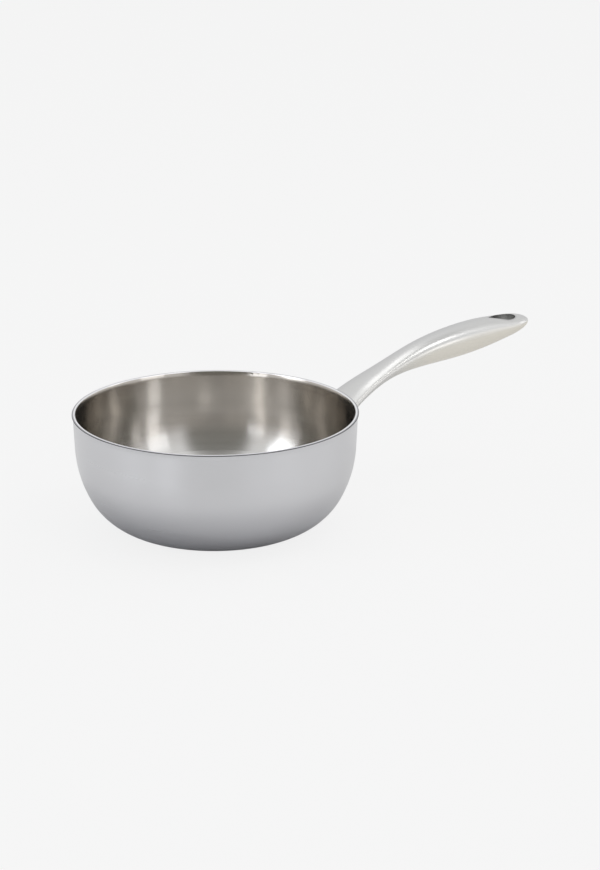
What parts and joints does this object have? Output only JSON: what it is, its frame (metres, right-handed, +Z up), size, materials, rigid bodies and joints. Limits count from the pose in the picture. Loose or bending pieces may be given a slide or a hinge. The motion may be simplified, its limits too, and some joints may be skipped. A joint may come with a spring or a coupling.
{
  "type": "saucier pan",
  "caption": "Round-bottomed clad saucier pan with a turned-out pouring rim and a hollow, upswept welded handle that ends in a teardrop hanging eye.",
  "frame": {"origin": "centre of the flat underside, on the surface that the pan stands on", "axes": "+Z up out of the bowl, +X along the handle from the bowl's axis towards the hanging eye"},
  "size_m": [0.3556, 0.2012, 0.1226],
  "materials": {
    "magnetic_steel": "fine circular brushing, satin",
    "core_aluminium": "rolled, seen only at the ground rim",
    "lining_steel": "circular brushing, brighter than outside",
    "handle_steel": "satin polished"
  },
  "bodies": {
    "root": {"outer_ply": "magnetic_steel", "aluminium_core": "core_aluminium", "cooking_ply": "lining_steel", "handle_foot_plate": "handle_steel", "handle_top_shell": "handle_steel", "handle_bottom_shell": "handle_steel", "hanging_eye_sleeve": "handle_steel"}
  },
  "joints": []
}
